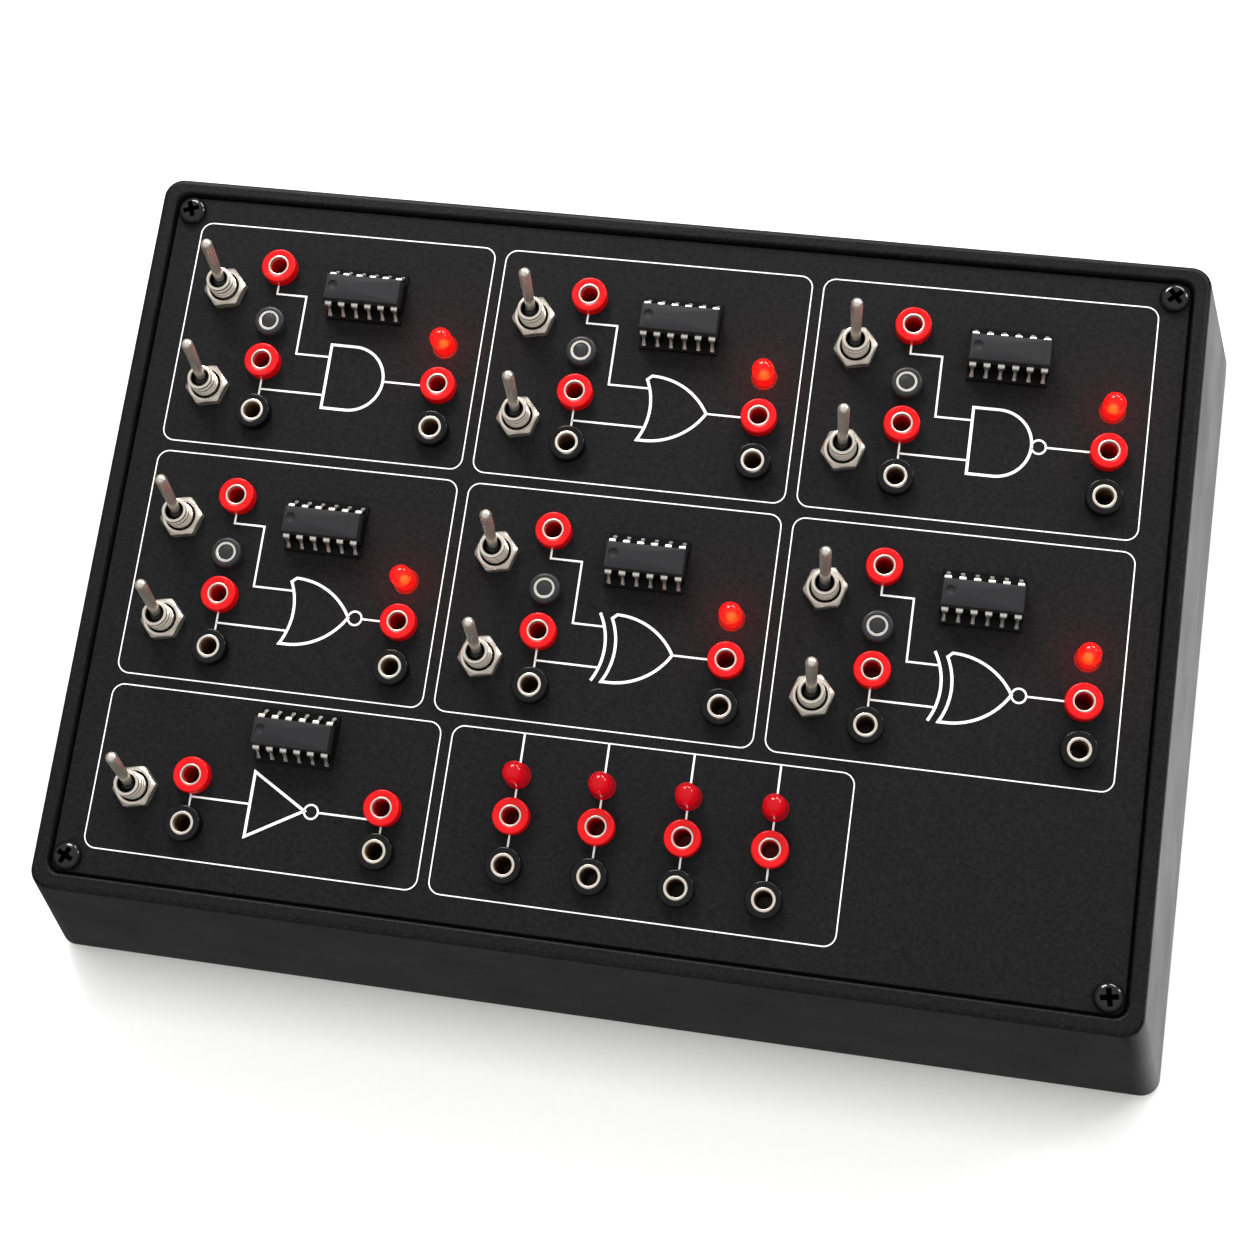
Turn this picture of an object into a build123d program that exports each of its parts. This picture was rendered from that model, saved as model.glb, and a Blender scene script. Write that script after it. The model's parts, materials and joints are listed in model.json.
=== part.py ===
"""Digital logic trainer: a flared desktop case whose sloping panel carries seven logic gate sections.

Each gate section has toggle switches for its inputs, 4 mm sockets for leads, a chip in a carrier and a
lamp at its output.  A last section holds four monitor lamps, each with a socket pair of its own.

X runs to the right, Y to the rear and Z up.  The origin is on the table, under the middle of the case.
All sizes are in millimetres and degrees.
"""

from build123d import *
import os
from math import atan2, cos, degrees, pi, radians, sin, tan

# Case
base_width = 263.6
base_depth = 182.8
case_corner = 4.5
rim_width = 240.8
rim_depth = 167.6
rim_chamfer = 0.7
case_height = 55.4
case_wall = 2.6
panel_tilt = 3.2
foot_height = 3.0
foot_radius = 8.0
foot_step = 16.0
foot_taper = 12.0

# Panel and the shelf that carries it
panel_width = 232.8
panel_depth = 159.6
panel_corner = 2.5
panel_gap = 0.6
panel_thickness = 2.0
panel_drop = 1.1
shelf_width = 8.0
shelf_thickness = 2.4
gusset_thickness = 2.0
gusset_height = 22.0
gusset_pitch = 76.0
weld = 0.8

# Screws and the posts that they enter
screw_inset = 3.5
screw_radius = 1.45
screw_fit = 0.15
screw_length = 9.0
head_radius = 3.3
head_height = 1.9
head_slope = 20.0
recess_width = 0.8
recess_length = 3.6
recess_depth = 1.0
post_radius = 3.9

# Base plate, its vents and the supply board
plate_thickness = 2.5
plate_fit = 0.4
head_pocket = 0.3
vent_count = 8
vent_pitch = 6.0
vent_width = 2.4
vent_length = 36.0
vent_offset = 44.0
pillar_radius = 3.2
pillar_height = 7.0
board_length = 62.0
board_breadth = 40.0
board_thickness = 1.6
board_margin = 25.5
board_hole_inset = 4.0
board_screw_length = 5.0
lead_width = 5.0
lead_thickness = 1.4
lead_step = 14.0
lead_bend = 12.0

# Power inlet in the rear wall
inlet_x = -66.0
inlet_height = 24.0
inlet_radius = 3.9
inlet_bore = 2.8
inlet_length = 13.0
inlet_flange_radius = 5.6
inlet_flange = 1.6
inlet_pin_radius = 1.05
inlet_nut_flats = 11.0
inlet_nut_thickness = 2.2
inlet_fit = 0.15

# Round outlines of the small parts that repeat: flats on their outsides and in their bores
round_side_count = 10
hole_side_count = 6
lever_side_count = 8
lens_side_count = 8

# Sections of the panel: heights of the three rows, widths, and the gap between neighbours
upper_row = 53.2
middle_row = 52.2
lower_row = 37.0
gate_width = 70.5
right_gate_width = 73.6
inverter_width = 75.7
monitor_width = 87.9
section_gap = 2.6

# Places in a gate section, from its left or right edge and up from its middle line
switch_edge = 8.75
upper_switch = 10.6
lower_switch = -13.2
input_edge = 20.85
input_a_rise = 16.75
input_b_rise = -6.2
input_common_rise = -18.35
lamp_rise = 3.4
chip_edge = 42.4
chip_rise = 11.8
output_edge = 7.95
output_rise = -7.8
output_common_rise = -18.15
light_rise = 1.7

# Places in the inverter section
inverter_switch_edge = 9.7
inverter_switch_rise = -4.1
inverter_input_edge = 22.3
inverter_common_rise = -10.75
inverter_chip_edge = 44.1
inverter_chip_rise = 11.1
inverter_output_edge = 9.85
inverter_output_rise = -1.9
inverter_output_common_rise = -11.4

# Places in the monitor section
monitor_count = 4
monitor_pitch = 18.7
monitor_light_rise = 9.0
monitor_common_rise = -10.7

# Sockets
socket_radius = 4.0
socket_height = 2.8
sleeve_radius = 2.55
sleeve_bore = 2.0
sleeve_depth = 12.0
sleeve_floor = 1.0
hole_fit = 0.15

# Toggle switches
bushing_radius = 3.0
bushing_height = 7.0
nut_flats = 8.6
nut_height = 2.4
nut_turn = 12.0
pivot_height = 4.3
ball_radius = 2.02
ball_fit = 0.08
ball_waist = 0.34
lever_root_radius = 1.1
lever_tip_radius = 1.35
lever_length = 15.2
lever_lean = 16.0
switch_width = 7.9
switch_length = 13.2
switch_depth = 9.6

# Lamps
lens_radius = 2.5
lens_height = 8.6
lens_flange_radius = 2.9
lens_flange = 1.0
dome_waist = 0.87
dome_top = 0.3
lamp_body_radius = 3.5
lamp_body_height = 2.6
lamp_ring_radius = 2.4
lamp_ring_bore = 1.7
lamp_ring_sink = 0.1
lamp_lens_sink = 0.35

# Chips
chip_length = 17.8
chip_width = 6.35
chip_height = 3.3
chip_draft = 8.0
carrier_height = 2.7
carrier_width = 7.2
carrier_flange_width = 12.0
carrier_flange = 1.0
pin_count = 6
pin_pitch = 3.1
pin_width = 1.2
pin_thickness = 0.35
pin_reach = 0.85
pin_splay = 1.5

# Planes of the sloping face
slope = radians(panel_tilt)
rim_height = foot_height + case_height
rim_plane = Plane(origin=(0, 0, rim_height), x_dir=(1, 0, 0), z_dir=(0, -sin(slope), cos(slope)))
panel_top = rim_plane.offset(-panel_drop)
panel_back = panel_top.offset(-panel_thickness)
shelf_back = panel_back.offset(-shelf_thickness)
case_bottom = Plane.XY.offset(foot_height)
plate_top = Plane.XY.offset(foot_height + plate_thickness)
plate_top_height = foot_height + plate_thickness

pocket_width = panel_width + 2 * panel_gap
pocket_depth = panel_depth + 2 * panel_gap
window_width = pocket_width - 2 * shelf_width
window_depth = pocket_depth - 2 * shelf_width
flare_x = (base_width - rim_width) / 2
flare_y = (base_depth - rim_depth * cos(slope)) / 2
rim_rise = rim_depth / 2 * sin(slope)
front_lean = flare_y / (case_height - rim_rise)
rear_lean = flare_y / (case_height + rim_rise)
shelf_depth = panel_drop + panel_thickness + shelf_thickness
screw_x = panel_width / 2 - screw_inset
screw_y = panel_depth / 2 - screw_inset
corners = [(x, y) for x in (-screw_x, screw_x) for y in (-screw_y, screw_y)]


def shaft(radius, side_count=round_side_count):
    """A round outline that never leaves the true circle."""
    RegularPolygon(radius, side_count)


def bore(radius, side_count=hole_side_count):
    """A cut that a true round part of this radius still goes through."""
    RegularPolygon(radius, side_count, major_radius=False, mode=Mode.SUBTRACT)


def shelf_underside(y):
    """Height of the shelf's lower face at a distance behind the middle of the case."""
    return rim_height + y * tan(slope) - shelf_depth / cos(slope)


def turned(stations, side_count):
    """A flat-sided piece along Z whose radius changes evenly between (height, radius) stations."""
    bands = []
    for (low, low_radius), (high, high_radius) in zip(stations, stations[1:]):
        if high > low:
            inward = abs(low_radius - high_radius) * cos(pi / side_count)
            with BuildPart() as band:
                with BuildSketch():
                    shaft(max(low_radius, high_radius), side_count)
                extrude(amount=high - low, taper=degrees(atan2(inward, high - low)))
            upright = low_radius >= high_radius
            bands.append((Pos(0, 0, low) if upright else Pos(0, 0, high) * Rot(180, 0, 0)) * band.part)
    with BuildPart() as whole:
        add(bands)
    return whole.part


def repeated(piece, plane, points):
    """Copies of one piece, standing on a plane at each of its points."""
    spots = [plane.location * Pos(x, y) for x, y in points]
    with BuildPart() as copies:
        with Locations(*spots):
            add(piece)
    return copies.part


def side_inside(y, z):
    """Distance from the middle of the case to the inside of a side wall, at a depth and a height."""
    below_rim = (rim_height - z) * cos(slope) + y * sin(slope)
    return rim_width / 2 + flare_x * below_rim / case_height - case_wall


def end_inside(side, z):
    """Distance from the middle of the case to the inside of the front (-1) or rear (1) wall."""
    lean = rear_lean if side > 0 else front_lean
    return base_depth / 2 - lean * (z - foot_height) - case_wall


def flared_block(inset):
    """The case's outer form with its walls moved in: four flat walls that flare out from a sloping top."""
    half_depth = base_depth / 2 - inset
    half_rim = rim_width / 2 - inset
    apex = case_height + rim_rise + weld
    side_lean = flare_x / case_height
    with BuildPart() as block:
        with BuildSketch(Plane.YZ):
            with BuildLine():
                Polyline((-half_depth, foot_height), (half_depth, foot_height),
                         (half_depth - apex * rear_lean, foot_height + apex),
                         (apex * front_lean - half_depth, foot_height + apex), close=True)
            make_face()
        extrude(amount=base_width, both=True)
        with BuildSketch(Plane(rim_plane.origin, x_dir=rim_plane.x_dir, z_dir=-rim_plane.y_dir)):
            with BuildLine():
                Polyline((side_lean * apex - half_rim, apex), (half_rim - side_lean * apex, apex),
                         (half_rim + side_lean * 2 * apex, -2 * apex),
                         (-half_rim - side_lean * 2 * apex, -2 * apex), close=True)
            make_face()
        extrude(amount=base_depth, both=True, mode=Mode.INTERSECT)
        split(bisect_by=rim_plane, keep=Keep.BOTTOM)
        uprights = [edge for edge in block.edges() if abs((edge @ 1 - edge @ 0).Z) > case_height / 2]
        fillet(uprights, case_corner - inset)
    return block.part


def finish(part, name):
    """Label a finished piece and write it to its own file."""
    part.label = name
    export_step(part, f"parts/{name}.step")


os.makedirs("parts", exist_ok=True)

# Where the parts of each section stand on the panel
grid_width = 2 * gate_width + right_gate_width + 2 * section_gap
grid_depth = upper_row + middle_row + lower_row + 2 * section_gap
grid_left = -grid_width / 2
upper_middle = grid_depth / 2 - upper_row / 2
middle_middle = grid_depth / 2 - upper_row - section_gap - middle_row / 2
lower_middle = -grid_depth / 2 + lower_row / 2

red_points, black_points, switch_points, chip_points = {}, {}, {}, {}
output_lights, lamp_points = [], []

columns = ((grid_left, gate_width),
           (grid_left + gate_width + section_gap, gate_width),
           (grid_left + 2 * (gate_width + section_gap), right_gate_width))
for gates, middle in ((("and", "or", "nand"), upper_middle), (("nor", "xor", "xnor"), middle_middle)):
    for gate, (left, width) in zip(gates, columns):
        input_x = left + input_edge
        output_x = left + width - output_edge
        red_points[gate] = [(input_x, middle + input_a_rise), (input_x, middle + input_b_rise),
                            (output_x, middle + output_rise)]
        black_points[gate] = [(input_x, middle + input_common_rise),
                              (output_x, middle + output_common_rise)]
        switch_points[f"{gate}_a"] = (left + switch_edge, middle + upper_switch)
        switch_points[f"{gate}_b"] = (left + switch_edge, middle + lower_switch)
        chip_points[gate] = (left + chip_edge, middle + chip_rise)
        output_lights.append((output_x, middle + light_rise))
        lamp_points.append((input_x, middle + lamp_rise))

inverter_input_x = grid_left + inverter_input_edge
inverter_output_x = grid_left + inverter_width - inverter_output_edge
red_points["not"] = [(inverter_input_x, lower_middle),
                     (inverter_output_x, lower_middle + inverter_output_rise)]
black_points["not"] = [(inverter_input_x, lower_middle + inverter_common_rise),
                       (inverter_output_x, lower_middle + inverter_output_common_rise)]
switch_points["not_a"] = (grid_left + inverter_switch_edge, lower_middle + inverter_switch_rise)
chip_points["not"] = (grid_left + inverter_chip_edge, lower_middle + inverter_chip_rise)

monitor_middle = grid_left + inverter_width + section_gap + monitor_width / 2
monitor_columns = [monitor_middle + (i - (monitor_count - 1) / 2) * monitor_pitch
                   for i in range(monitor_count)]
red_points["monitor"] = [(x, lower_middle) for x in monitor_columns]
black_points["monitor"] = [(x, lower_middle + monitor_common_rise) for x in monitor_columns]
monitor_lights = [(x, lower_middle + monitor_light_rise) for x in monitor_columns]

socket_points = [point for points in (*red_points.values(), *black_points.values()) for point in points]

# The power inlet stands square to the rear wall
inlet_face = base_depth / 2 - rear_lean * (inlet_height - foot_height)
inlet_plane = Plane(origin=(inlet_x, inlet_face, inlet_height), x_dir=(-1, 0, 0), z_dir=(0, 1, rear_lean))

# Housing: one moulded shell with flared walls, a raised rim and a shelf inside it for the panel
case_form = flared_block(0)
hollow_form = flared_block(case_wall)
plate_form = flared_block(case_wall + plate_fit)

with BuildPart() as hollow:
    add(hollow_form)
    split(bisect_by=shelf_back, keep=Keep.BOTTOM)

with BuildPart() as housing:
    add(case_form)
    chamfer(housing.faces().sort_by(Axis.Z)[-1].edges(), rim_chamfer)
    add(hollow.part, mode=Mode.SUBTRACT)
    with BuildSketch(rim_plane):
        RectangleRounded(pocket_width, pocket_depth, panel_corner + panel_gap)
    extrude(amount=-panel_drop - panel_thickness, mode=Mode.SUBTRACT)
    with BuildSketch(panel_back):
        RectangleRounded(window_width, window_depth, panel_corner)
    extrude(amount=-2 * shelf_thickness, mode=Mode.SUBTRACT)
    # Corner posts stand on the base plate and reach into the shelf; a web ties each to the side wall
    for row in (-1, 1):
        post_top = shelf_underside(row * screw_y) + weld
        with BuildSketch(plate_top):
            with Locations(*[(x, y) for x, y in corners if y * row > 0]):
                RegularPolygon(post_radius, round_side_count)
        extrude(amount=post_top - plate_top_height)
        for side in (-1, 1):
            post_y = row * screw_y
            with BuildSketch(Plane.XZ.offset(-post_y)):
                with BuildLine():
                    Polyline((side * screw_x, plate_top_height),
                             (side * (side_inside(post_y, plate_top_height) + weld), plate_top_height),
                             (side * (side_inside(post_y, post_top) + weld), post_top),
                             (side * screw_x, post_top), close=True)
                make_face()
            extrude(amount=gusset_thickness / 2, both=True)
    # Gussets under the shelf, along the side walls and along the front and rear walls
    for side in (-1, 1):
        for y in (-gusset_pitch / 2, gusset_pitch / 2):
            top = shelf_underside(y) + weld
            with BuildSketch(Plane.XZ.offset(-y)):
                with BuildLine():
                    Polyline((side * (window_width / 2 + weld), top),
                             (side * (side_inside(y, top) + weld), top),
                             (side * (side_inside(y, top - gusset_height) + weld), top - gusset_height),
                             close=True)
                make_face()
            extrude(amount=gusset_thickness / 2, both=True)
        top = shelf_underside(side * window_depth / 2) + weld
        for x in (-gusset_pitch, 0, gusset_pitch):
            with BuildSketch(Plane.YZ.offset(x)):
                with BuildLine():
                    Polyline((side * (window_depth / 2 + weld), top),
                             (side * (end_inside(side, top) + weld), top),
                             (side * (end_inside(side, top - gusset_height) + weld), top - gusset_height),
                             close=True)
                make_face()
            extrude(amount=gusset_thickness / 2, both=True)
    # Pilot holes for the panel screws and the base screws, and the hole for the power inlet
    with BuildSketch(panel_back):
        with Locations(*corners):
            RegularPolygon(screw_radius, hole_side_count, major_radius=False)
    extrude(amount=-screw_length - screw_fit, mode=Mode.SUBTRACT)
    with BuildSketch(plate_top):
        with Locations(*corners):
            RegularPolygon(screw_radius, hole_side_count, major_radius=False)
    extrude(amount=screw_length + screw_fit, mode=Mode.SUBTRACT)
    with BuildSketch(inlet_plane):
        RegularPolygon(inlet_radius + inlet_fit, round_side_count, major_radius=False)
    extrude(amount=2 * case_wall, both=True, mode=Mode.SUBTRACT)
finish(housing.part, "housing")

# Base plate: set flush inside the walls, with vent slots and pillars for the supply board
board_y = end_inside(1, plate_top_height) - board_margin - board_breadth / 2
board_holes = [(inlet_x + sx * (board_length / 2 - board_hole_inset),
                board_y + sy * (board_breadth / 2 - board_hole_inset)) for sx in (-1, 1) for sy in (-1, 1)]
with BuildPart() as base_plate:
    add(plate_form)
    split(bisect_by=plate_top, keep=Keep.BOTTOM)
    with BuildSketch(case_bottom):
        with Locations(*corners):
            RegularPolygon(screw_radius + screw_fit, hole_side_count, major_radius=False)
        with Locations((vent_offset, 0), (-vent_offset, 0)):
            with GridLocations(vent_pitch, 0, vent_count, 1):
                Rectangle(vent_width, vent_length)
    extrude(amount=plate_thickness, mode=Mode.SUBTRACT)
    with BuildSketch(case_bottom):
        with Locations(*corners):
            RegularPolygon(head_radius + head_pocket, round_side_count, major_radius=False)
    extrude(amount=head_height / 2, mode=Mode.SUBTRACT)
    with BuildSketch(plate_top):
        with Locations(*board_holes):
            shaft(pillar_radius, hole_side_count)
            bore(screw_radius)
    extrude(amount=pillar_height)
finish(base_plate.part, "base_plate")

# Rubber feet, under the base plate beside its corner screws
foot_points = [(sx * (screw_x - foot_step), sy * screw_y) for sx in (-1, 1) for sy in (-1, 1)]
foot = turned(((-foot_height, foot_radius - foot_height * tan(radians(foot_taper))), (0, foot_radius)),
              round_side_count)
finish(repeated(foot, case_bottom, foot_points), "rubber_feet")

# Front panel: a printed board with a hole for every socket, switch and corner screw
with BuildPart() as front_panel:
    with BuildSketch(panel_top):
        RectangleRounded(panel_width, panel_depth, panel_corner)
        with Locations(*socket_points):
            bore(sleeve_radius + hole_fit)
        with Locations(*switch_points.values()):
            bore(bushing_radius + hole_fit)
        with Locations(*corners):
            bore(screw_radius + screw_fit)
    extrude(amount=-panel_thickness)
finish(front_panel.part, "front_panel")


def pan_screw(length, recess):
    """A pan head screw with its head on the XY plane, with or without a cross recess."""
    with BuildPart() as screw:
        with BuildSketch():
            shaft(head_radius)
        extrude(amount=head_height, taper=head_slope)
        with BuildSketch():
            shaft(screw_radius, hole_side_count)
        extrude(amount=-length)
        if recess:
            with BuildSketch(Plane.XY.offset(head_height)):
                Rectangle(recess_width, recess_length)
                Rectangle(recess_length, recess_width)
            extrude(amount=-recess_depth, mode=Mode.SUBTRACT)
    return screw.part


panel_screw = pan_screw(panel_thickness + screw_length, True)
finish(repeated(panel_screw, panel_top, corners), "panel_screws")

pocket_floor = Plane(origin=(0, 0, foot_height + head_height / 2), x_dir=(1, 0, 0), z_dir=(0, 0, -1))
base_screw = pan_screw(screw_length + plate_thickness - head_height / 2, False)
finish(repeated(base_screw, pocket_floor, corners), "base_screws")

pillar_top = plate_top.offset(pillar_height)
board_top = pillar_top.offset(board_thickness)

# Supply board on its pillars, with its four screws
with BuildPart() as supply_board:
    with BuildSketch(pillar_top):
        with Locations((inlet_x, board_y)):
            Rectangle(board_length, board_breadth)
        with Locations(*board_holes):
            bore(screw_radius + screw_fit)
    extrude(amount=board_thickness)
finish(supply_board.part, "supply_board")
board_screw = pan_screw(board_thickness + board_screw_length, False)
finish(repeated(board_screw, board_top, board_holes), "board_screws")

# Supply lead: a flat two-core strip that steps forward on its way up from the board to the panel
board_top_height = plate_top_height + pillar_height + board_thickness
lead_foot = board_y - board_breadth / 4
with BuildPart() as supply_lead:
    with BuildSketch(Plane.YZ.offset(inlet_x)):
        with BuildLine():
            FilletPolyline((lead_foot, board_top_height), (lead_foot, board_top_height + lead_bend),
                           (lead_foot - lead_step, board_top_height + 2 * lead_bend),
                           (lead_foot - lead_step, rim_height), radius=lead_thickness)
        trace(line_width=lead_thickness)
    extrude(amount=lead_width / 2, both=True)
    split(bisect_by=panel_back, keep=Keep.BOTTOM)
finish(supply_lead.part, "supply_lead")

# Power inlet: a barrel through the rear wall with a flange outside, a nut inside and a centre pin
with BuildPart() as power_inlet:
    with BuildSketch(inlet_plane):
        shaft(inlet_flange_radius)
        bore(inlet_bore, round_side_count)
    extrude(amount=inlet_flange)
    with BuildSketch(inlet_plane):
        shaft(inlet_radius)
        bore(inlet_bore, round_side_count)
    extrude(amount=-inlet_length)
    with BuildSketch(inlet_plane.offset(-inlet_length)):
        shaft(inlet_radius)
    extrude(amount=-inlet_flange)
    with BuildSketch(inlet_plane.offset(-inlet_length)):
        shaft(inlet_pin_radius, hole_side_count)
    extrude(amount=inlet_length)
finish(power_inlet.part, "power_inlet")

with BuildPart() as inlet_nut:
    with BuildSketch(inlet_plane.offset(-case_wall)):
        RegularPolygon(inlet_nut_flats / 2, 6, major_radius=False)
        bore(inlet_radius, round_side_count)
    extrude(amount=-inlet_nut_thickness)
finish(inlet_nut.part, "inlet_nut")


def insulators(points):
    """Moulded socket heads that stand on the panel round their sleeves."""
    with BuildPart() as heads:
        with BuildSketch(panel_top):
            with Locations(*points):
                shaft(socket_radius)
                RegularPolygon(sleeve_radius, hole_side_count, mode=Mode.SUBTRACT)
        extrude(amount=socket_height)
    return heads.part


for section, points in red_points.items():
    finish(insulators(points), f"red_sockets_{section}")
for section, points in black_points.items():
    finish(insulators(points), f"black_sockets_{section}")

# Socket sleeves: metal tubes, closed at their lower ends, that line the heads and pass through the panel
with BuildPart() as socket_sleeves:
    with BuildSketch(panel_top.offset(socket_height)):
        with Locations(*socket_points):
            RegularPolygon(sleeve_radius, hole_side_count)
    extrude(amount=-socket_height - sleeve_depth)
    with BuildSketch(panel_top.offset(socket_height)):
        with Locations(*socket_points):
            RegularPolygon(sleeve_bore, hole_side_count, major_radius=False)
    extrude(amount=-socket_height - sleeve_depth + sleeve_floor, mode=Mode.SUBTRACT)
finish(socket_sleeves.part, "socket_sleeves")

# Switch bushings: cups that hold the levers' balls, standing on the switch cases below the panel
with BuildPart() as switch_bushings:
    with BuildSketch(panel_back):
        with Locations(*switch_points.values()):
            shaft(bushing_radius)
    extrude(amount=panel_thickness + bushing_height)
    with BuildSketch(panel_top.offset(pivot_height - ball_radius - ball_fit)):
        with Locations(*switch_points.values()):
            RegularPolygon(ball_radius + ball_fit, hole_side_count, major_radius=False)
    extrude(amount=bushing_height, mode=Mode.SUBTRACT)
finish(switch_bushings.part, "switch_bushings")

with BuildPart() as switch_nuts:
    with BuildSketch(panel_top):
        with Locations(*switch_points.values()):
            RegularPolygon(nut_flats / 2, 6, major_radius=False, rotation=nut_turn)
            RegularPolygon(bushing_radius, round_side_count, mode=Mode.SUBTRACT)
    extrude(amount=nut_height)
finish(switch_nuts.part, "switch_nuts")

with BuildPart() as switch_cases:
    with BuildSketch(panel_back):
        with Locations(*switch_points.values()):
            Rectangle(switch_width, switch_length)
    extrude(amount=-switch_depth)
finish(switch_cases.part, "switch_cases")

# Levers: each leans back about its ball, which turns in the bushing
root_height = (ball_radius ** 2 - lever_root_radius ** 2) ** 0.5
waist_height = ball_radius * ball_waist
waist_radius = (ball_radius ** 2 - waist_height ** 2) ** 0.5
lever = turned(((-root_height, lever_root_radius), (-waist_height, waist_radius),
                (waist_height, waist_radius), (root_height, lever_root_radius),
                (lever_length - lever_tip_radius, lever_tip_radius),
                (lever_length, lever_tip_radius / 2)), lever_side_count)
for switch, (x, y) in switch_points.items():
    pivot = Plane(panel_top.location * Pos(x, y, pivot_height) * Rot(-lever_lean, 0, 0))
    finish(repeated(lever, pivot, [(0, 0)]), f"lever_{switch}")

# Lamps with domed lenses, which stand on the panel on their flanges
lens = turned(((0, lens_flange_radius), (lens_flange, lens_flange_radius), (lens_flange, lens_radius),
               (lens_height - lens_radius, lens_radius),
               (lens_height - lens_radius / 2, lens_radius * dome_waist),
               (lens_height, lens_radius * dome_top)), lens_side_count)
finish(repeated(lens, panel_top, output_lights), "output_lights")
finish(repeated(lens, panel_top, monitor_lights), "monitor_lights")

# Input lamps: a low black body, a bright ring and a smoked lens in each
with BuildPart() as lamp_bodies:
    with BuildSketch(panel_top):
        with Locations(*lamp_points):
            shaft(lamp_body_radius)
            RegularPolygon(lamp_ring_radius, hole_side_count, mode=Mode.SUBTRACT)
    extrude(amount=lamp_body_height)
finish(lamp_bodies.part, "lamp_bodies")

with BuildPart() as lamp_rings:
    with BuildSketch(panel_top):
        with Locations(*lamp_points):
            RegularPolygon(lamp_ring_radius, hole_side_count)
            RegularPolygon(lamp_ring_bore, hole_side_count, mode=Mode.SUBTRACT)
    extrude(amount=lamp_body_height - lamp_ring_sink)
finish(lamp_rings.part, "lamp_rings")

with BuildPart() as lamp_lenses:
    with BuildSketch(panel_top):
        with Locations(*lamp_points):
            RegularPolygon(lamp_ring_bore, hole_side_count)
    extrude(amount=lamp_body_height - lamp_lens_sink)
finish(lamp_lenses.part, "lamp_lenses")

# Chips: moulded bodies whose sides slope away from the parting line that their pins leave from
parting = panel_top.offset(carrier_height + chip_height / 2)
with BuildPart() as chip_half:
    with BuildSketch():
        Rectangle(chip_length, chip_width)
    extrude(amount=chip_height / 2, taper=chip_draft)
with BuildPart() as chip:
    add(chip_half.part)
    add(chip_half.part, rotation=(180, 0, 0))
for section, point in chip_points.items():
    finish(repeated(chip.part, parting, [point]), f"chip_{section}")

# Chip carriers: a core that the body rests on, with a flange along each side for the pins' feet
with BuildPart() as chip_carriers:
    for point in chip_points.values():
        with BuildSketch(panel_top):
            with Locations(point):
                Rectangle(chip_length, carrier_flange_width)
        extrude(amount=carrier_flange)
        with BuildSketch(panel_top):
            with Locations(point):
                Rectangle(chip_length, carrier_width)
        extrude(amount=carrier_height)
finish(chip_carriers.part, "chip_carriers")

# Chip pins: bent strips that leave the parting line, turn down and splay to the flange
shoulder = carrier_height + chip_height / 2
pin_root = chip_width / 2
pin_out = pin_root + pin_reach
with BuildPart() as pin:
    with BuildSketch(Plane.YZ):
        with BuildLine():
            Polyline((pin_root, shoulder - pin_thickness / 2),
                     (pin_out - pin_thickness, shoulder - pin_thickness / 2),
                     (pin_out + pin_splay - pin_thickness, carrier_flange),
                     (pin_out + pin_splay, carrier_flange),
                     (pin_out, shoulder + pin_thickness / 2),
                     (pin_root, shoulder + pin_thickness / 2), close=True)
        make_face()
    extrude(amount=pin_width / 2, both=True)
with BuildPart() as pin_rows:
    with GridLocations(pin_pitch, 0, pin_count, 1):
        add(pin.part)
        add(pin.part, rotation=(0, 0, 180))
finish(repeated(pin_rows.part, panel_top, chip_points.values()), "chip_pins")
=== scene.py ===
"""Dresses the digital logic trainer: smooth turned parts, printed circuits, materials, lights and camera."""

import json
import math
from functools import cache

import bmesh
import bpy
import numpy as np
from bpy.props import FloatProperty, FloatVectorProperty, IntProperty, PointerProperty
from mathutils import Matrix, Vector


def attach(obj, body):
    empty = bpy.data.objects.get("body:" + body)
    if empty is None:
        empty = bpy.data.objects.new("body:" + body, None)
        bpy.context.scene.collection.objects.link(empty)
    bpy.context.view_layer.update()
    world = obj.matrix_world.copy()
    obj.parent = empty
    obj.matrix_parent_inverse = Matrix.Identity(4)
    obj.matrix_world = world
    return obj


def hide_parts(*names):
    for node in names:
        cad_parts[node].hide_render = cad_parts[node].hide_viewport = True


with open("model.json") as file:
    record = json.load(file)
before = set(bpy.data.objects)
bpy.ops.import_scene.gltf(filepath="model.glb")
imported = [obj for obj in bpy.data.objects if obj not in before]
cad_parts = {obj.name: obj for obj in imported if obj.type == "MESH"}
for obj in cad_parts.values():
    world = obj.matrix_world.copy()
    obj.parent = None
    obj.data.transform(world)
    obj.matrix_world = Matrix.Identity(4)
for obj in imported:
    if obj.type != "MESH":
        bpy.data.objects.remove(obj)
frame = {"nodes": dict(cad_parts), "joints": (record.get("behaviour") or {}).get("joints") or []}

bl_info = {
    "name": "Logic Trainer",
    "version": (1, 0, 0),
    "blender": (4, 5, 0),
    "location": "View3D > Sidebar > Trainer",
    "description": "Builds the visible pieces of a digital logic trainer on its packed frame",
    "category": "Object",
}

BODY = "trainer"
GATES = ("and", "or", "nand", "nor", "xor", "xnor")
SECTIONS = (*GATES, "not", "monitor")
CHIPS = [f"chip_{section}" for section in (*GATES, "not")]
MM = 0.001
WELD = 1e-6  # vertices of the frame's meshes that are nearer than this, in metres, are one
NOISE_RANGE = (0.3, 0.7)


def linear(code):
    """An sRGB hex colour as linear red, green and blue."""
    channels = [int(code[i:i + 2], 16) / 255 for i in (1, 3, 5)]
    return tuple(c / 12.92 if c <= 0.04045 else ((c + 0.055) / 1.055) ** 2.4 for c in channels)


def length(name, description, millimetres):
    """A length property whose default is given in millimetres."""
    return FloatProperty(name=name, description=description, default=millimetres * MM, unit="LENGTH")


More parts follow.
